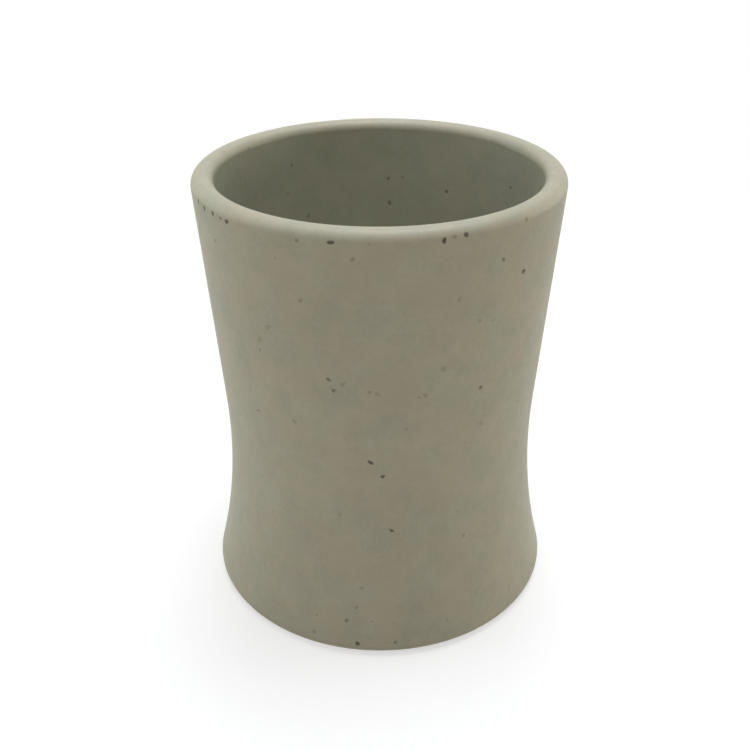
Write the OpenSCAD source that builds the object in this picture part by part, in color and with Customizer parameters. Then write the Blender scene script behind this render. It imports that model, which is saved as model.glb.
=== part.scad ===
// Bathroom tumbler in speckled stone-look resin: a waisted cup cast in one piece,
// standing on a thin foam pad that an adhesive film holds in a recess under its foot.
// The Z axis is the cup's own axis, and the pad's underside is at zero.

/* [Body] */
// Height from the table to the top of the lip
height = 100; // [85:0.5:125]
// Outer diameter at the lip
rim_d = 78.4; // [74:0.2:90]
// Outer diameter at the waist, where the cup is narrowest
waist_d = 71; // [66:0.2:74]
// Height of the waist above the table
waist_h = 39; // [30:0.5:55]
// Outer diameter of the flared foot at its widest
foot_d = 80.6; // [75:0.2:92]
// Radius of the rounded edge between the foot and the underside
foot_round = 2; // [0.5:0.1:4]

/* [Lip] */
// Thickness of the wall at the lip
lip_wall = 4.7; // [4:0.1:6.5]
// Radius of the lip's outer edge
lip_outer_round = 2.2; // [0.5:0.1:3]
// Radius of the lip's inner edge
lip_inner_round = 2; // [0.5:0.1:3]

/* [Inside] */
// Thickness of the wall at the waist
waist_wall = 4.4; // [3:0.1:7]
// Thickness of the floor above the underside
floor_t = 8.5; // [5:0.5:16]
// Radius of the fillet between the floor and the inner wall
floor_round = 6; // [2:0.5:12]

/* [Pad recess] */
// Width of the flat ring of the underside, around the recess
heel_w = 6; // [3:0.5:15]
// Width of the bevel around the recess's mouth
recess_bevel = 0.4; // [0.1:0.1:0.8]
// Clearance between the pad's edge and the recess's wall
pad_gap = 0.5; // [0.2:0.1:1.5]

/* [Base pad] */
// Thickness of the foam pad
pad_t = 1.5; // [1:0.1:3]
// Distance that the pad stands out below the foot
pad_proud = 0.5; // [0.2:0.1:0.8]
// Radius of the pad's lower edge
pad_round = 0.4; // [0.1:0.1:0.5]
// Thickness of the adhesive film on the pad
film_t = 0.2; // [0.1:0.05:0.4]
// Distance from the pad's edge in to the film's edge
film_inset = 0.5; // [0.2:0.1:3]

/* [Hidden] */
$fn = 180;

// Overrun of the cuts past the faces that they open
overrun = 1;
// Depth to which a curve runs into the next one where the two touch
seam = 0.001;

// Heights of the foot's underside, of the recess's roof and of the floor inside
underside_z = pad_proud;
recess_z = pad_t + film_t;
floor_z = underside_z + floor_t;

// Radii of the outer outline
rim_r = rim_d / 2;
waist_r = waist_d / 2;
foot_r = foot_d / 2;

// The foot's rounded edge, and the waist's arc that touches it and passes through the waist.
// The arc bends inwards, and outwards, with a negative radius, if the foot is the narrower of the two
foot_centre = [foot_r - foot_round, underside_z + foot_round];
flare = foot_r - waist_r;
rise = waist_h - foot_centre.y;
waist_round = (rise * rise + flare * flare) / (2 * flare) - foot_round;
waist_centre = [waist_r + waist_round, waist_h];
bend = sign(waist_round);
foot_to_waist = waist_centre - foot_centre;
foot_out = bend * foot_to_waist / norm(foot_to_waist);
foot_touch = foot_centre + (foot_round + bend * seam) * foot_out;

// The upper wall is straight, and touches both the waist's arc and the lip's outer edge
lip_centre = [rim_r - lip_outer_round, height - lip_outer_round];
lip_to_waist = waist_centre - lip_centre;
reach = waist_round + lip_outer_round;
lean = -atan2(lip_to_waist.y, lip_to_waist.x) - acos(reach / norm(lip_to_waist));
wall_out = [cos(lean), -sin(lean)];
lip_touch = lip_centre + (lip_outer_round - seam) * wall_out;
waist_touch = waist_centre - (waist_round - bend * seam) * wall_out;

// The inner edge of the lip is rounded with what the outer edge leaves of the wall
inner_round = min(lip_inner_round, lip_wall - lip_outer_round);

// The inner wall is a straight taper, set by its thickness at the waist and at the lip
core_waist = [waist_r - waist_wall, waist_h];
inner_lip_centre = [rim_r - lip_wall + inner_round, height - inner_round];
core_rise = inner_lip_centre - core_waist;
draft = atan2(core_rise.x, core_rise.y) - asin(inner_round / norm(core_rise));
core_out = [cos(draft), -sin(draft)];
inner_lip_touch = inner_lip_centre - (inner_round - seam) * core_out;

// The fillet at the floor touches the floor and the inner wall
fillet_z = floor_z + floor_round;
fillet_r = core_waist.x + (fillet_z - core_waist.y) * tan(draft) - floor_round / cos(draft);
fillet_centre = [fillet_r, fillet_z];
fillet_touch = fillet_centre + (floor_round - seam) * core_out;

// The recess leaves the heel ring, and the pad and its film fit into it
recess_r = foot_centre.x - heel_w - recess_bevel;
pad_r = recess_r - pad_gap;
film_r = pad_r - film_inset;

// Full circle of the waist's arc
module waist_circle() {
    translate(waist_centre)
        circle(r = abs(waist_round) + seam);
}

// Half section of the solid cup, before it is hollowed
module outer_outline() {
    difference() {
        polygon([
            [0, underside_z],
            [foot_centre.x, underside_z],
            foot_centre,
            foot_touch,
            waist_touch,
            lip_touch,
            lip_centre,
            [lip_centre.x, height],
            [0, height]
        ]);
        if (bend > 0) waist_circle();
    }
    if (bend < 0)
        intersection() {
            waist_circle();
            translate([0, foot_touch.y])
                square([foot_r + waist_r, waist_touch.y - foot_touch.y]);
        }
    translate(foot_centre)
        circle(r = foot_round);
    translate(lip_centre)
        circle(r = lip_outer_round);
}

// Half section of the hollow inside
module core_outline() {
    polygon([
        [0, floor_z],
        [fillet_centre.x, floor_z],
        fillet_centre,
        fillet_touch,
        inner_lip_touch,
        inner_lip_centre,
        [inner_lip_centre.x, height + overrun],
        [0, height + overrun]
    ]);
    translate(fillet_centre)
        circle(r = floor_round);
}

// Half section of the recess under the foot, with its bevelled mouth
module recess_outline() {
    polygon([
        [0, recess_z],
        [recess_r, recess_z],
        [recess_r, underside_z + recess_bevel],
        [recess_r + recess_bevel + overrun, underside_z - overrun],
        [0, underside_z - overrun]
    ]);
}

// Cast cup with its thick rounded lip, its heavy floor and the recess for the pad
module body() {
    color([0.66, 0.64, 0.57])
        rotate_extrude() {
            difference() {
                outer_outline();
                core_outline();
                recess_outline();
            }
            translate(inner_lip_centre)
                circle(r = inner_round);
        }
}

// Die-cut foam disc that the tumbler stands on
module base_pad() {
    color([0.2, 0.2, 0.2])
        rotate_extrude() {
            polygon([
                [0, 0],
                [pad_r - pad_round, 0],
                [pad_r - pad_round, pad_round],
                [pad_r, pad_round],
                [pad_r, pad_t],
                [0, pad_t]
            ]);
            translate([pad_r - pad_round, pad_round])
                circle(r = pad_round);
        }
}

// Double-sided film between the pad and the recess's roof
module pad_adhesive() {
    color([0.85, 0.83, 0.76])
        translate([0, 0, pad_t])
            cylinder(h = film_t, r = film_r);
}

body();
base_pad();
pad_adhesive();
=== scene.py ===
import math
import random

import bmesh
import bpy
from mathutils import Matrix, Vector
from mathutils.bvhtree import BVHTree


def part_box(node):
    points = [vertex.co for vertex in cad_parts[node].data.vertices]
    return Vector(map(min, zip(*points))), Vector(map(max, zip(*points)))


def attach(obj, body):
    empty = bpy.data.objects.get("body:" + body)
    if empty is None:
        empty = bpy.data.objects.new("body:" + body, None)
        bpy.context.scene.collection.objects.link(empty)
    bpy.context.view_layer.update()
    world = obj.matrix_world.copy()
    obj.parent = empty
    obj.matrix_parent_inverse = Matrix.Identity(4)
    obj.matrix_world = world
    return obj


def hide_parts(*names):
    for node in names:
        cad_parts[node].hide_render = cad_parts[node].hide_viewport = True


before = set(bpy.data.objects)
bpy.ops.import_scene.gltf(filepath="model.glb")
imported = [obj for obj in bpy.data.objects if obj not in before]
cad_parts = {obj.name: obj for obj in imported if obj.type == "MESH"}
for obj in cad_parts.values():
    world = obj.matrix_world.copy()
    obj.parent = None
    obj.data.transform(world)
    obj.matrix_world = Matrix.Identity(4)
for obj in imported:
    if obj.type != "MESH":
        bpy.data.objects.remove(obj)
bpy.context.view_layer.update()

mm = 0.001
bodyLow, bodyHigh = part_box("body")
padLow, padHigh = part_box("base_pad")
print("frame loaded, nodes:", sorted(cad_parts))


def addObject(name, data):
    item = bpy.data.objects.new(name, data)
    bpy.context.collection.objects.link(item)
    return item


def addMesh(name, build):
    mesh = bpy.data.meshes.new(name)
    build.to_mesh(mesh)
    build.free()
    return addObject(name, mesh)


# The photograph's own camera. Its place was fitted to the tumbler's outline.
cameraView = {
    "distance": 198.4 * mm,  # from the tumbler's axis, along Y
    "height": 161.5 * mm,
    "sideways": -1.07 * mm,
    "pitch": 29.45,  # degrees below the horizon
    "roll": -0.27,  # degrees
    "focalPixels": 970,
    "imagePixels": 750,
    "sensor": 36,
    "nearest": 0.01,
    "farthest": 20,
}


def makeCamera(view):
    data = bpy.data.cameras.new("photoCamera")
    data.sensor_width = view["sensor"]
    data.lens = view["focalPixels"] / view["imagePixels"] * view["sensor"]
    data.clip_start = view["nearest"]
    data.clip_end = view["farthest"]
    camera = addObject("photoCamera", data)
    tilt = Matrix.Rotation(math.radians(90 - view["pitch"]), 4, "X")
    roll = Matrix.Rotation(math.radians(view["roll"]), 4, "Z")
    place = Matrix.Translation((view["sideways"], -view["distance"], view["height"]))
    camera.matrix_world = place @ tilt @ roll
    bpy.context.scene.camera = camera
    return camera


def pixelRay(camera, view, x, y):
    # direction from the camera through a pixel of the photograph
    middle = (view["imagePixels"] - 1) / 2
    local = Vector((x - middle, middle - y, -view["focalPixels"]))
    return (camera.matrix_world.to_3x3() @ local).normalized()


camera = makeCamera(cameraView)
print("camera placed, lens", round(camera.data.lens, 2))


# Small helpers for the node trees
white = (1, 1, 1, 1)
black = (0, 0, 0, 1)
noiseSpread = (0.3, 0.7)  # most values of a noise lie between these


def colour(r, g, b):
    # written as on a colour picker, 0 to 255, and turned by the sRGB curve into what sockets hold
    def linear(channel):
        share = channel / 255
        return share / 12.92 if share <= 0.04045 else ((share + 0.055) / 1.055) ** 2.4
    return (linear(r), linear(g), linear(b), 1)


def setInputs(tree, node, inputs):
    for key, value in inputs.items():
        if isinstance(value, bpy.types.NodeSocket):
            tree.links.new(value, node.inputs[key])
        else:
            node.inputs[key].default_value = value


def addNode(tree, kind, inputs=None, **settings):
    node = tree.nodes.new(kind)
    for key, value in settings.items():
        setattr(node, key, value)
    setInputs(tree, node, inputs or {})
    return node


def addMath(tree, operation, *values, clamp=False):
    node = addNode(tree, "ShaderNodeMath", dict(enumerate(values)), operation=operation, use_clamp=clamp)
    return node.outputs[0]


def addVector(tree, operation, inputs):
    outputs = addNode(tree, "ShaderNodeVectorMath", inputs, operation=operation).outputs
    return outputs[1] if operation == "LENGTH" else outputs[0]


def mixColour(tree, factor, a, b, blend="MIX"):
    inputs = {0: factor, 6: a, 7: b}
    return addNode(tree, "ShaderNodeMix", inputs, data_type="RGBA", blend_type=blend).outputs[2]


def remap(tree, value, given, wanted=(0, 1)):
    # eases the given range into the wanted one
    inputs = {0: value, 1: given[0], 2: given[1], 3: wanted[0], 4: wanted[1]}
    return addNode(tree, "ShaderNodeMapRange", inputs, interpolation_type="SMOOTHSTEP").outputs[0]


def newMaterial(name):
    # also gives the shader, and the Object coordinates that all patterns are laid by
    material = bpy.data.materials.new(name)
    material.use_nodes = True
    tree = material.node_tree
    place = addNode(tree, "ShaderNodeTexCoord").outputs["Object"]
    return material, tree, tree.nodes["Principled BSDF"], place


def dressShader(tree, shader, inputs, relief, depth):
    # the relief, between 0 and 1, becomes a bump of this depth
    bump = addNode(tree, "ShaderNodeBump", {"Height": relief, "Strength": 1.0, "Distance": depth})
    setInputs(tree, shader, {**inputs, "Normal": bump.outputs[0]})


def newGroup(name, floats, result):
    # takes a vector and some floats, and gives one float
    group = bpy.data.node_groups.new(name, "ShaderNodeTree")
    group.interface.new_socket("Vector", in_out="INPUT", socket_type="NodeSocketVector")
    for label, value in floats.items():
        socket = group.interface.new_socket(label, in_out="INPUT", socket_type="NodeSocketFloat")
        socket.default_value = value
    group.interface.new_socket(result, in_out="OUTPUT", socket_type="NodeSocketFloat")
    given = group.nodes.new("NodeGroupInput").outputs
    end = group.nodes.new("NodeGroupOutput")
    return group, given, end


def useGroup(tree, group, place, size, **inputs):
    # the size of the pattern in metres
    inputs = {"Vector": place, "Scale": 1 / size, **inputs}
    return addNode(tree, "ShaderNodeGroup", inputs, node_tree=group).outputs[0]


# Slow, cloudy change of shade, as a poured casting shows
mottleValues = {
    "scale": 60,
    "detail": 4,
    "roughness": 0.55,
}


def makeMottleGroup(values):
    floats = {"Scale": values["scale"], "Roughness": values["roughness"]}
    group, given, end = newGroup("castMottle", floats, "Value")
    wide = addNode(group, "ShaderNodeTexNoise", {
        "Vector": given["Vector"],
        "Scale": given["Scale"],
        "Detail": values["detail"],
        "Roughness": given["Roughness"],
    })
    setInputs(group, end, {"Value": wide.outputs[0]})
    return group


# Fine sand-like tooth, from two sizes of noise
sandValues = {
    "scale": 2500,
    "fineDetail": 4,
    "fineRoughness": 0.65,
    "fineShare": 0.65,
    "coarseScale": 0.3,  # of the fine noise's scale
    "coarseDetail": 2,
}


def makeSandGroup(values):
    group, given, end = newGroup("fineGrain", {"Scale": values["scale"]}, "Value")
    fine = addNode(group, "ShaderNodeTexNoise", {
        "Vector": given["Vector"],
        "Scale": given["Scale"],
        "Detail": values["fineDetail"],
        "Roughness": values["fineRoughness"],
    })
    coarse = addNode(group, "ShaderNodeTexNoise", {
        "Vector": given["Vector"],
        "Scale": addMath(group, "MULTIPLY", given["Scale"], values["coarseScale"]),
        "Detail": values["coarseDetail"],
    })
    finePart = addMath(group, "MULTIPLY", fine.outputs[0], values["fineShare"])
    coarsePart = addMath(group, "MULTIPLY", coarse.outputs[0], 1 - values["fineShare"])
    setInputs(group, end, {"Value": addMath(group, "ADD", finePart, coarsePart)})
    return group


# Sparse round-ish flecks: one cell in a few holds one, each of its own size and strength
fleckValues = {
    "scale": 600,
    "share": 0.2,  # of the cells that hold a fleck
    "size": 0.3,
    "wobble": 0.4 * mm,
    "wobbleScale": 2400,
    "wobbleDetail": 1,
    "smallest": 0.35,  # the least of its size that a fleck has
    "faintest": 0.3,
    "softEdge": 0.12,
}


def makeFleckGroup(values):
    floats = {"Scale": values["scale"], "Share": values["share"], "Size": values["size"]}
    group, given, end = newGroup("faintSpecks", floats, "Mask")
    wobble = addNode(group, "ShaderNodeTexNoise", {
        "Vector": given["Vector"],
        "Scale": values["wobbleScale"],
        "Detail": values["wobbleDetail"],
    })
    shift = addVector(group, "SUBTRACT", {0: wobble.outputs[1], 1: (0.5, 0.5, 0.5)})
    small = addVector(group, "SCALE", {0: shift, "Scale": values["wobble"]})
    place = addVector(group, "ADD", {0: given["Vector"], 1: small})
    cells = addNode(group, "ShaderNodeTexVoronoi", {"Vector": place, "Scale": given["Scale"]}).outputs
    chance = addNode(group, "ShaderNodeSeparateColor", {0: cells["Color"]}).outputs
    there = addMath(group, "LESS_THAN", chance[0], given["Share"])
    ownSize = addMath(group, "MULTIPLY", given["Size"], addMath(group, "ADD", chance[1], values["smallest"]))
    inward = addMath(group, "SUBTRACT", ownSize, cells["Distance"])
    soft = remap(group, inward, (0, values["softEdge"]))
    ownStrength = addMath(group, "ADD", chance[2], values["faintest"], clamp=True)
    mask = addMath(group, "MULTIPLY", addMath(group, "MULTIPLY", soft, ownStrength), there, clamp=True)
    setInputs(group, end, {"Mask": mask})
    return group


mottleGroup = makeMottleGroup(mottleValues)
sandGroup = makeSandGroup(sandValues)
fleckGroup = makeFleckGroup(fleckValues)
print("shared node groups made")


# The casting's finish, with painted light on its inside
stoneFinish = {
    "paler": colour(180, 178, 158),
    "darker": colour(156, 153, 134),
    "cloudSize": 40 * mm,
    "cloudSpread": (0.35, 0.65),
    "cloudShade": (0, 0.15),  # how far the clouds go from the paler colour to the darker
    "mottleSize": 7 * mm,
    "mottleRoughness": 0.85,
    "mottleSpread": (0.2, 0.8),
    "mottleShade": (0.05, 0.65),
    "grainSize": 0.35 * mm,
    "grainShade": (0, 0.15),
    "grainHeight": 0.012 * mm,
    "roughness": (0.45, 0.6),
    "warm": colour(183, 167, 144),
    "warmth": 0.32,  # at most this much of the warm colour, in soft patches
    "warmSpread": (0.35, 0.65),
    "warmShift": (0.1, 0.2, 0.3),  # parts the warm patches from the mottle
    "speckColour": colour(112, 106, 88),
    "speckStrength": 0.45,
    "speckSpacing": 2.4 * mm,
    "speckShare": 0.22,
    "speckSize": 0.14,
    # painted light: the inside is tinted a shade paler and cooler, standing in for the cooler light from
    # above that falls into it
    "insideLightTint": (1.0, 1.055, 1.075, 1),
    "insideRadius": 31 * mm,  # of a cone in the middle of the wall, at the height of zero
    "insideTaper": 0.058,
    "insideAbove": 5 * mm,
    "insideBlend": 2 * mm,
    "insideFade": (bodyHigh.z - 4 * mm, bodyHigh.z - 1 * mm),  # up to the lip
    # the flat ring under the foot is ground: paler and duller, with fine turned marks
    "groundBelow": bodyLow.z + 0.06 * mm,
    "groundColour": colour(184, 181, 164),
    "groundShare": 0.8,
    "groundRoughness": 0.8,
    "groundRings": 0.5 * mm,
    "groundHeight": 0.006 * mm,
    "ringDistortion": 0.6,
    "ringDetail": 2,
    "ringTurn": 20,  # radians through which the wave texture turns over a unit, at a scale of one
}


def castColour(tree, place, grain, values):
    cloud = useGroup(tree, mottleGroup, place, values["cloudSize"])
    mottle = useGroup(tree, mottleGroup, place, values["mottleSize"], Roughness=values["mottleRoughness"])
    mottleShade = remap(tree, mottle, values["mottleSpread"], values["mottleShade"])
    grainShade = remap(tree, grain, noiseSpread, values["grainShade"])
    cloudShade = remap(tree, cloud, values["cloudSpread"], values["cloudShade"])
    shade = addMath(tree, "ADD", addMath(tree, "ADD", mottleShade, grainShade), cloudShade)
    mottled = mixColour(tree, shade, values["paler"], values["darker"])
    shifted = addVector(tree, "ADD", {0: place, 1: values["warmShift"]})
    patches = useGroup(tree, mottleGroup, shifted, values["mottleSize"])
    warmth = remap(tree, patches, values["warmSpread"], (0, values["warmth"]))
    warmed = mixColour(tree, warmth, mottled, values["warm"])
    specks = useGroup(tree, fleckGroup, place, values["speckSpacing"], Share=values["speckShare"],
                      Size=values["speckSize"])
    return mixColour(tree, addMath(tree, "MULTIPLY", specks, values["speckStrength"]), warmed,
                     values["speckColour"])


def insideMask(tree, place, height, values):
    # one inside the cone in the wall, fading out up to the lip, and nothing under the floor
    radius = addVector(tree, "LENGTH", {0: addVector(tree, "MULTIPLY", {0: place, 1: (1, 1, 0)})})
    cone = addMath(tree, "ADD", addMath(tree, "MULTIPLY", height, values["insideTaper"]),
                   values["insideRadius"])
    half = values["insideBlend"] / 2
    within = remap(tree, addMath(tree, "SUBTRACT", cone, radius), (-half, half))
    above = addMath(tree, "GREATER_THAN", height, values["insideAbove"])
    lower = remap(tree, height, values["insideFade"], (1, 0))
    return addMath(tree, "MULTIPLY", addMath(tree, "MULTIPLY", within, above), lower)


def groundMarks(tree, place, ground, values):
    # the turned rings, as a share of the grain's height
    rings = addNode(tree, "ShaderNodeTexWave", {
        "Vector": place,
        "Scale": math.tau / (values["ringTurn"] * values["groundRings"]),
        "Distortion": values["ringDistortion"],
        "Detail": values["ringDetail"],
    }, wave_type="RINGS", rings_direction="Z").outputs["Fac"]
    share = values["groundHeight"] / values["grainHeight"]
    return addMath(tree, "MULTIPLY", addMath(tree, "MULTIPLY", rings, ground), share)


def makeStone(values):
    material, tree, shader, place = newMaterial("speckledStoneResin")
    height = addNode(tree, "ShaderNodeSeparateXYZ", {0: place}).outputs[2]
    grain = useGroup(tree, sandGroup, place, values["grainSize"])
    inside = insideMask(tree, place, height, values)
    ground = addMath(tree, "LESS_THAN", height, values["groundBelow"])
    cast = castColour(tree, place, grain, values)
    # painted light: the inside is made paler and cooler here
    insideLit = mixColour(tree, inside, cast, values["insideLightTint"], blend="MULTIPLY")
    groundShare = addMath(tree, "MULTIPLY", ground, values["groundShare"])
    castRoughness = remap(tree, grain, noiseSpread, values["roughness"])
    groundRoughness = addMath(tree, "MULTIPLY", ground, values["groundRoughness"])
    inputs = {
        "Base Color": mixColour(tree, groundShare, insideLit, values["groundColour"]),
        "Roughness": addMath(tree, "MAXIMUM", castRoughness, groundRoughness),
    }
    relief = addMath(tree, "ADD", grain, groundMarks(tree, place, ground, values))
    dressShader(tree, shader, inputs, relief, values["grainHeight"])
    return material


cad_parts["body"].material_slots[0].material = makeStone(stoneFinish)
print("casting finished")


# Dark grains of the filler that lie open at the surface. Each is a small closed chip let into the wall.
grainValues = {
    "sides": 11,
    "innerRing": 0.2,  # of the grain's size, in from its rim; keeps it level with the curve of the lip
    "proud": 0.02 * mm,
    "depth": 0.25 * mm,
    "uneven": (0.72, 1.12),
    "stretch": (1.0, 1.5),
    "sizeSpread": (0.85, 1.15),
    "toneSpread": (0.85, 1.0),
    "rimTone": 0.4,  # the resin thins out over a grain's rim: its tone there, against the middle
    # a trace is one that lies just under the surface; long and slant are two of a marked shape
    "kinds": {
        "big": {"size": 1.35 * mm, "tone": 0.95},
        "dark": {"size": 1.13 * mm, "tone": 0.81},
        "medium": {"size": 1.05 * mm, "tone": 0.51},
        "faint": {"size": 1.0 * mm, "tone": 0.2},
        "trace": {"size": 1.2 * mm, "tone": 0.04},
        "long": {"size": 1.2 * mm, "tone": 0.81, "stretch": 1.9, "turn": 0},
        "slant": {"size": 1.4 * mm, "tone": 0.81, "stretch": 1.6, "turn": -38},
    },
    "darkest": colour(56, 53, 40),
    "palest": colour(163, 159, 139),
    "paleSpread": (0.4, 0.7),
    "paleShare": 0.12,  # at most this much of the palest colour breaks through
    "roughness": (0.4, 0.6),
    "specular": 0.25,
    "levelLimit": 0.05,  # a surface that leans less than this counts as level
    "seed": 7,
    "tries": 40,  # for each hidden grain, at most
    "apart": 1.5 * mm,
    "sightSlack": 1 * mm,
}

# pixels of the photograph at which a grain shows: x, y, kind
grainsSeen = {
    "lip": [(198, 201, "dark"), (204, 208, "dark"), (212, 213, "dark"), (220, 218, "medium"),
            (226, 221, "big"), (330, 242, "long"), (444, 240, "big"), (454, 236, "faint"),
            (466, 234, "dark"), (526, 219, "faint"), (215, 240, "faint"), (296, 240, "faint")],
    "upperWall": [(523, 271, "big"), (503, 259, "medium"), (352, 259, "faint"), (300, 300, "faint"),
                  (459, 299, "trace"), (267, 327, "trace"), (259, 339, "trace"), (479, 320, "trace")],
    "waist": [(328, 379, "medium"), (333, 390, "medium"), (342, 384, "faint"), (443, 368, "trace"),
              (369, 392, "faint"), (377, 394, "trace"), (425, 395, "trace"), (480, 387, "medium"),
              (258, 410, "faint"), (294, 421, "trace"), (480, 423, "trace")],
    "foot": [(370, 462, "slant"), (382, 476, "dark"), (339, 514, "trace"), (457, 511, "trace"),
             (391, 530, "dark"), (463, 535, "faint"), (361, 588, "trace"), (356, 607, "faint"),
             (346, 620, "medium"), (314, 631, "faint"), (357, 643, "dark"), (395, 642, "medium"),
             (532, 564, "faint")],
    "inside": [(291, 165, "faint"), (287, 193, "trace"), (308, 215, "faint"), (248, 148, "faint"),
               (388, 178, "medium"), (402, 177, "faint"), (446, 191, "medium"), (510, 187, "medium"),
               (389, 202, "medium")],
}

# Grains where the photograph can't see: how many, the kinds to draw from, and the drawn ray that finds each.
# Heights are shares of the body's, and reaches from the axis are shares of its radius. The first two start
# at a share of its radius from the axis, the third at a share of its height, and the last that far under it.
grainsHidden = {
    "backWall": {"count": 44, "kinds": ("dark", "medium", "faint", "faint", "trace", "trace"),
                 "heights": (0.06, 0.93), "start": 1.5, "dip": 0},
    "backLip": {"count": 16, "kinds": ("big", "dark", "medium", "medium", "faint", "trace"),
                "heights": (0.99, 1.03), "start": 1.5, "dip": 0.15},
    "inside": {"count": 22, "kinds": ("medium", "medium", "faint", "faint", "trace"),
               "slopes": (-3.0, 0.6), "start": 0.6},
    "underside": {"count": 7, "kinds": ("dark", "medium", "faint"),
                  "reaches": (0.86, 0.93), "start": 0.2},
}


def surfaceTree(node):
    shape = bmesh.new()
    shape.from_mesh(node.data)
    tree = BVHTree.FromBMesh(shape)
    shape.free()
    return tree


def hiddenRay(wish, chance):
    # from outside or below towards the body, or from its axis outwards
    angle = chance.uniform(0, math.tau)
    out = Vector((math.cos(angle), math.sin(angle), 0))
    height = bodyHigh.z
    if "heights" in wish:
        start = out * bodyHigh.x * wish["start"] + Vector((0, 0, height * chance.uniform(*wish["heights"])))
        return start, -out - Vector((0, 0, wish["dip"]))
    if "slopes" in wish:
        return Vector((0, 0, height * wish["start"])), out + Vector((0, 0, chance.uniform(*wish["slopes"])))
    start = out * bodyHigh.x * chance.uniform(*wish["reaches"]) - Vector((0, 0, height * wish["start"]))
    return start, Vector((0, 0, 1))


def hiddenSpot(wish, values, surface, eye, chance):
    # one try at a spot on the surface that the photograph's camera doesn't see
    start, aim = hiddenRay(wish, chance)
    spot, normal, _, _ = surface.ray_cast(start, aim.normalized())
    if spot is None:
        return None
    seen, _, _, far = surface.ray_cast(eye, (spot - eye).normalized())
    if seen is not None and (spot - eye).length < far + values["sightSlack"]:
        return None
    return spot, normal


def findSpots(values, surface, camera, view, chance):
    eye = camera.matrix_world.translation.copy()
    spots = []
    for group in grainsSeen.values():
        for x, y, kind in group:
            spot, normal, _, _ = surface.ray_cast(eye, pixelRay(camera, view, x, y))
            if spot is not None:
                spots.append((spot, normal, kind))
    print("grains placed from the photograph:", len(spots))
    for region, wish in grainsHidden.items():
        found = 0
        for attempt in range(wish["count"] * values["tries"]):
            if found == wish["count"]:
                break
            placed = hiddenSpot(wish, values, surface, eye, chance)
            if placed is None or min((placed[0] - other[0]).length for other in spots) < values["apart"]:
                continue
            spots.append((*placed, chance.choice(wish["kinds"])))
            found += 1
        print("  hidden", region, found)
    return spots


def grainShape(kind, values, chance):
    # diameter, stretch, turn in degrees and tone
    form = values["kinds"][kind]
    turn = chance.uniform(0, 180)
    stretch = chance.uniform(*values["stretch"])
    if "turn" in form:
        return form["size"], form["stretch"], form["turn"], form["tone"]
    size = form["size"] * chance.uniform(*values["sizeSpread"])
    return size, stretch, turn, form["tone"] * chance.uniform(*values["toneSpread"])


def grainFace(build, size, stretch, values, chance):
    # flat and uneven, round the origin, with a rim, an inner ring and a middle
    ring = bmesh.ops.create_circle(build, cap_ends=True, segments=values["sides"], radius=size / 2)["verts"]
    for vert in ring:
        vert.co *= chance.uniform(*values["uneven"])
    middle = ring[0].link_faces[0]
    rim = bmesh.ops.inset_individual(build, faces=[middle], thickness=size * values["innerRing"])["faces"]
    inner = list(middle.verts)
    centre = bmesh.ops.poke(build, faces=[middle])["verts"][0]
    verts = ring + inner + [centre]
    longer = math.sqrt(stretch)
    bmesh.ops.scale(build, vec=(longer, 1 / longer, 1), verts=verts)
    return ring, verts, rim + list(centre.link_faces)


def surfacePlace(spot, normal, turn, values):
    across = Vector((0, 0, 1)).cross(normal)
    if across.length < values["levelLimit"]:
        across = Vector((1, 0, 0))
    across.normalize()
    along = normal.cross(across)
    place = Matrix((across, along, normal)).transposed().to_4x4()
    place.translation = spot
    return place @ Matrix.Rotation(math.radians(turn), 4, "Z")


def cutGrain(build, tone, surface, spot, normal, shape, values, chance):
    size, stretch, turn, shade = shape
    rimShade = shade * values["rimTone"]
    ring, verts, top = grainFace(build, size, stretch, values, chance)
    flat = {vert: vert.co.copy() for vert in verts}
    bmesh.ops.transform(build, matrix=surfacePlace(spot, normal, turn, values), verts=verts)
    for vert in verts:
        near, facing, _, _ = surface.find_nearest(vert.co)
        vert.co = near + facing * values["proud"]
        vert[tone] = rimShade if vert in ring else shade
    # closed below: the same faces again, pushed into the wall
    made = bmesh.ops.extrude_face_region(build, geom=top, use_keep_orig=True)["geom"]
    deep = [part for part in made if isinstance(part, bmesh.types.BMVert)]
    lower = [part for part in made if isinstance(part, bmesh.types.BMFace)]
    for vert in deep:
        _, facing, _, _ = surface.find_nearest(vert.co)
        vert.co -= facing * values["depth"]
        vert[tone] = rimShade
    sides = {face for vert in deep for face in vert.link_faces} - set(lower)
    build.faces.index_update()
    return top, lower, sorted(sides, key=lambda face: face.index), flat


# Each grain has a square of the map: its face large, its hidden back small, its rim in a strip below.
# All values are shares of the square.
grainMap = {
    "face": (0.36, 0.64),
    "faceScale": 0.5,
    "back": (0.84, 0.5),
    "backScale": 0.2,
    "backRise": 0.14,
    "rimLeft": 0.05,
    "rimWidth": 0.9,
    "rimFill": 0.9,  # of the width that each face of the rim has
    "rimLow": 0.04,
    "rimHigh": 0.2,
}


def layGrainMap(uv, corner, cell, faces, reach, values):
    top, lower, sides, flat = faces
    for face in top:
        for loop in face.loops:
            step = (flat[loop.vert] / reach).xy * values["faceScale"]
            loop[uv].uv = corner + (Vector(values["face"]) + step) * cell
    for face in lower:
        middle = face.calc_center_median()
        for loop in face.loops:
            step = (loop.vert.co - middle) / reach
            turned = Vector((step.x * values["backScale"], (step.y + step.z) * values["backRise"]))
            loop[uv].uv = corner + (Vector(values["back"]) + turned) * cell
    share = values["rimWidth"] / len(sides)
    for index, face in enumerate(sides):
        left = values["rimLeft"] + index * share
        right = left + share * values["rimFill"]
        low, high = values["rimLow"], values["rimHigh"]
        for loop, spot in zip(face.loops, ((left, low), (right, low), (right, high), (left, high))):
            loop[uv].uv = corner + Vector(spot) * cell


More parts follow.
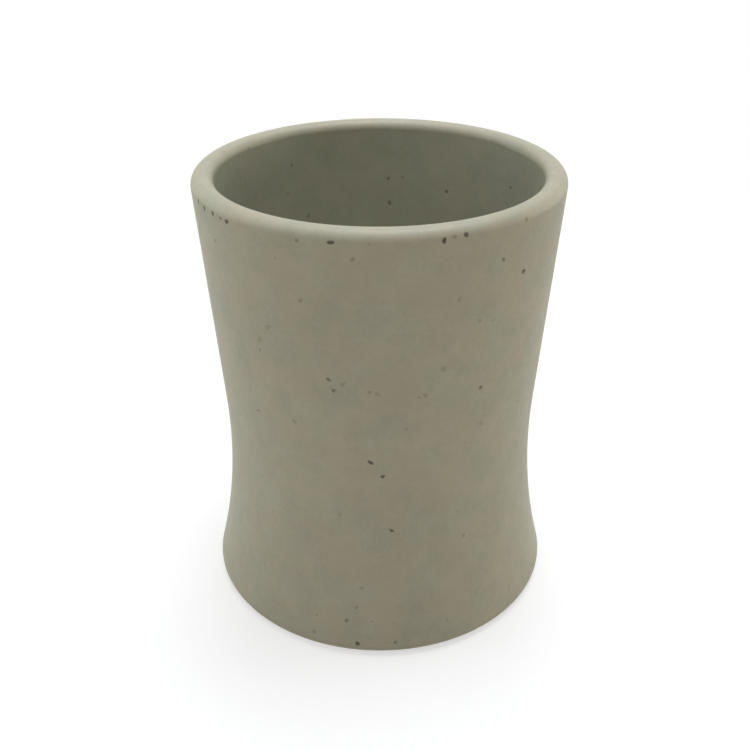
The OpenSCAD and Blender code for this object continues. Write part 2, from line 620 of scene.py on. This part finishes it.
def makeGrainMaterial(values):
    material, tree, shader, place = newMaterial("darkFillerGrain")
    tone = addNode(tree, "ShaderNodeAttribute", attribute_name="tone").outputs["Fac"]
    grain = useGroup(tree, sandGroup, place, stoneFinish["grainSize"])
    shade = mixColour(tree, tone, values["palest"], values["darkest"])
    pale = remap(tree, grain, values["paleSpread"], (0, values["paleShare"]))
    inputs = {
        "Base Color": mixColour(tree, pale, shade, values["palest"]),
        "Roughness": remap(tree, grain, noiseSpread, values["roughness"]),
        "Specular IOR Level": values["specular"],
    }
    dressShader(tree, shader, inputs, grain, stoneFinish["grainHeight"])
    return material


def makeGrains(values, camera, view):
    chance = random.Random(values["seed"])
    surface = surfaceTree(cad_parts["body"])
    spots = findSpots(values, surface, camera, view, chance)
    build = bmesh.new()
    tone = build.verts.layers.float.new("tone")
    uv = build.loops.layers.uv.new("OFBake")
    across = math.ceil(math.sqrt(len(spots)))
    cell = 1 / across
    for index, (spot, normal, kind) in enumerate(spots):
        shape = grainShape(kind, values, chance)
        faces = cutGrain(build, tone, surface, spot, normal, shape, values, chance)
        size, stretch, _, _ = shape
        corner = Vector((index % across, index // across)) * cell
        layGrainMap(uv, corner, cell, faces, size * math.sqrt(stretch), grainMap)
    bmesh.ops.recalc_face_normals(build, faces=build.faces)
    grains = addMesh("dark_grains", build)
    grains.data.materials.append(makeGrainMaterial(values))
    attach(grains, "root")
    return grains


grains = makeGrains(grainValues, camera, cameraView)
print("grains cut, faces:", len(grains.data.polygons))


# Foam pad under the base
padValues = {
    "sides": 160,
    "rings": 4,
    "edgeRound": 0.4 * mm,
    "edgeSegments": 4,
    "levelWithin": 0.1 * mm,  # an edge that rises less than this is level
    "sideCuts": 3,
    "bulge": 0.1 * mm,  # the rims lie this much further in than the middle of the side
    "wideCorners": 8,  # a face with more corners than this is still one large sheet
    "colour": colour(46, 45, 43),
    # painted shade: the hollows of the cells take this darker colour
    "cellShadeColour": colour(26, 25, 24),
    "cellSize": 0.28 * mm,
    "cellSpread": (0.15, 0.55),
    "cellDepth": 0.05 * mm,
    "dustColour": stoneFinish["darker"],
    "dustSize": stoneFinish["mottleSize"],
    "dustSpread": (0.45, 0.75),
    "dustShare": 0.25,
    "roughness": (0.75, 0.95),
    "specular": 0.3,
    "fill": 0.95,
}


def makeFoamMaterial(values):
    material, tree, shader, place = newMaterial("closedCellFoam")
    cells = addNode(tree, "ShaderNodeTexVoronoi", {"Vector": place, "Scale": 1 / values["cellSize"]})
    hollow = remap(tree, cells.outputs["Distance"], values["cellSpread"])
    mottle = useGroup(tree, mottleGroup, place, values["dustSize"])
    # painted shade: the pits of the cells are darker, where shade falls in them
    shade = mixColour(tree, hollow, values["cellShadeColour"], values["colour"])
    dust = remap(tree, mottle, values["dustSpread"], (0, values["dustShare"]))
    inputs = {
        "Base Color": mixColour(tree, dust, shade, values["dustColour"]),
        "Roughness": remap(tree, mottle, noiseSpread, values["roughness"]),
        "Specular IOR Level": values["specular"],
    }
    dressShader(tree, shader, inputs, hollow, values["cellDepth"])
    return material


def edgeRise(edge):
    return abs(edge.verts[0].co.z - edge.verts[1].co.z)


def wideFaces(build, values):
    return [face for face in build.faces if len(face.verts) > values["wideCorners"]]


def makeFoamPad(values):
    build = bmesh.new()
    radius = padHigh.x
    disc = bmesh.ops.create_circle(build, cap_ends=True, segments=values["sides"], radius=radius)["verts"]
    bmesh.ops.translate(build, vec=(0, 0, padLow.z), verts=disc)
    made = bmesh.ops.extrude_face_region(build, geom=[disc[0].link_faces[0]], use_keep_orig=True)["geom"]
    raised = [part for part in made if isinstance(part, bmesh.types.BMVert)]
    bmesh.ops.translate(build, vec=(0, 0, padHigh.z - padLow.z), verts=raised)
    bmesh.ops.recalc_face_normals(build, faces=build.faces)
    rims = [edge for edge in build.edges if edgeRise(edge) < values["levelWithin"]]
    bmesh.ops.bevel(build, geom=rims, offset=values["edgeRound"], offset_type="OFFSET",
                    segments=values["edgeSegments"], profile=0.5, affect="EDGES", material=-1,
                    clamp_overlap=True)
    upright = [edge for edge in build.edges if edgeRise(edge) > values["edgeRound"]]
    bmesh.ops.subdivide_edges(build, edges=upright, cuts=values["sideCuts"], use_grid_fill=False)
    middle = (padLow.z + padHigh.z) / 2
    for vert in build.verts:
        apart = (vert.co.z - middle) / (padHigh.z - middle)
        shrink = 1 - values["bulge"] / radius * apart ** 2
        bmesh.ops.scale(build, vec=(shrink, shrink, 1), verts=[vert])
    # the wide faces in rings, so that they are even and not one large sheet
    for turn in range(values["rings"]):
        bmesh.ops.inset_region(build, faces=wideFaces(build, values), use_even_offset=True,
                               thickness=radius / (values["rings"] + 1))
    bmesh.ops.poke(build, faces=wideFaces(build, values))
    pad = addMesh("foam_pad", build)
    for face in pad.data.polygons:
        face.use_smooth = True
    pad.data.materials.append(makeFoamMaterial(values))
    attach(pad, "root")
    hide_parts("base_pad")
    return pad


pad = makeFoamPad(padValues)
print("foam pad made, faces:", len(pad.data.polygons))


# Adhesive film between the pad and the casting
filmFinish = {
    "colour": colour(196, 186, 150),
    "bubbleColour": colour(216, 209, 182),
    "bubbleSpacing": 1.6 * mm,
    "bubbleShare": 0.5,
    "bubbleSize": 0.3,
    "bubbleHeight": 0.03 * mm,
    "roughness": (0.3, 0.5),
}


def makeFilm(values):
    material, tree, shader, place = newMaterial("adhesiveFilm")
    bubbles = useGroup(tree, fleckGroup, place, values["bubbleSpacing"], Share=values["bubbleShare"],
                       Size=values["bubbleSize"])
    grain = useGroup(tree, sandGroup, place, values["bubbleSpacing"])
    inputs = {
        "Base Color": mixColour(tree, bubbles, values["colour"], values["bubbleColour"]),
        "Roughness": remap(tree, grain, noiseSpread, values["roughness"]),
    }
    dressShader(tree, shader, inputs, bubbles, values["bubbleHeight"])
    return material


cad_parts["pad_adhesive"].material_slots[0].material = makeFilm(filmFinish)
print("adhesive film finished")


# Floor, backdrop and lights
stageValues = {
    "floorSize": 6.0,
    "floorDrop": 0.02 * mm,  # keeps the floor off the pad's own underside
    "shadedColour": (0.5, 0.5, 0.5, 1),  # as the camera sees it: this much takes the shadow
    "ownWhite": 0.58,  # and this much is white of its own
    "bounceColour": (0.86, 0.8, 0.71, 1),  # as it throws light back at the object
    "shadowReach": (0.1, 0.4),  # the floor turns to plain white between these distances
    "around": 0.0,
    "background": 1.0,
}


def seenRays(tree):
    # one where the camera looks, at the thing itself or through a glossy or clear surface
    rays = addNode(tree, "ShaderNodeLightPath").outputs
    passed = addMath(tree, "MAXIMUM", rays["Is Glossy Ray"], rays["Is Transmission Ray"])
    return addMath(tree, "MAXIMUM", rays["Is Camera Ray"], passed)


def makeFloor(values):
    build = bmesh.new()
    corners = bmesh.ops.create_grid(build, x_segments=1, y_segments=1, size=values["floorSize"] / 2)["verts"]
    bmesh.ops.translate(build, vec=(0, 0, padLow.z - values["floorDrop"]), verts=corners)
    floor = addMesh("floor", build)
    material, tree, shader, place = newMaterial("paleFloor")
    seen = seenRays(tree)
    away = addVector(tree, "LENGTH", {0: place})
    shaded = mixColour(tree, remap(tree, away, values["shadowReach"]), values["shadedColour"], black)
    ownWhite = remap(tree, away, values["shadowReach"], (values["ownWhite"], 1))
    setInputs(tree, shader, {
        "Base Color": mixColour(tree, seen, values["bounceColour"], shaded),
        "Roughness": 1.0,
        "Specular IOR Level": 0.0,
        "Emission Color": white,
        "Emission Strength": addMath(tree, "MULTIPLY", seen, ownWhite),
    })
    # clear from below
    back = addNode(tree, "ShaderNodeNewGeometry").outputs["Backfacing"]
    clear = addNode(tree, "ShaderNodeBsdfTransparent")
    mix = addNode(tree, "ShaderNodeMixShader", {0: back, 1: shader.outputs[0], 2: clear.outputs[0]})
    setInputs(tree, tree.nodes["Material Output"], {"Surface": mix.outputs[0]})
    floor.data.materials.append(material)


def makeSurround(values):
    world = bpy.data.worlds.new("surround")
    bpy.context.scene.world = world
    world.use_nodes = True
    tree = world.node_tree
    lit = tree.nodes["Background"]
    setInputs(tree, lit, {"Strength": values["around"], "Color": white})
    plain = addNode(tree, "ShaderNodeBackground", {"Strength": values["background"], "Color": white})
    mix = addNode(tree, "ShaderNodeMixShader", {0: seenRays(tree), 1: lit.outputs[0], 2: plain.outputs[0]})
    setInputs(tree, tree.nodes["World Output"], {"Surface": mix.outputs[0]})


# places and sizes in metres, powers in watts
softLights = {
    "overhead": {"place": (0, 0.15, 1.1), "size": (0.3, 0.8), "power": 6.84, "tint": (0.95, 0.97, 1.0)},
    "rightTop": {"place": (0.295, 0.15, 1.1), "size": (0.45, 0.8), "power": 3.73, "tint": (0.89, 0.955, 1.0)},
    "leftTop": {"place": (-0.8, 0.1, 0.6), "size": (0.8, 0.4), "power": 1.87, "tint": (0.925, 0.91, 1.0)},
    "frontTop": {"place": (0, -0.8, 0.9), "size": (1.2, 0.8), "power": 2.91, "tint": (1.0, 0.96, 0.915)},
    "leftCard": {"place": (-0.9, 0.25, 0.15), "size": (0.9, 0.28), "power": 1.4, "tint": (0.82, 1.0, 0.785)},
    "rightCard": {"place": (0.9, 0.25, 0.15), "size": (0.9, 0.28), "power": 2.15, "tint": (1.0, 0.965, 0.76)},
}


def makeLight(name, values):
    data = bpy.data.lights.new(name, "AREA")
    data.shape = "RECTANGLE"
    data.size, data.size_y = values["size"]
    data.energy = values["power"]
    data.color = values["tint"]
    light = addObject(name, data)
    light.location = values["place"]
    middle = Vector((0, 0, (bodyLow.z + bodyHigh.z) / 2))
    light.rotation_euler = (middle - light.location).to_track_quat("-Z", "Y").to_euler()


makeFloor(stageValues)
makeSurround(stageValues)
for lightName, lightValues in softLights.items():
    makeLight(lightName, lightValues)
bpy.context.scene.view_settings.view_transform = "Standard"
print("floor and lights made")
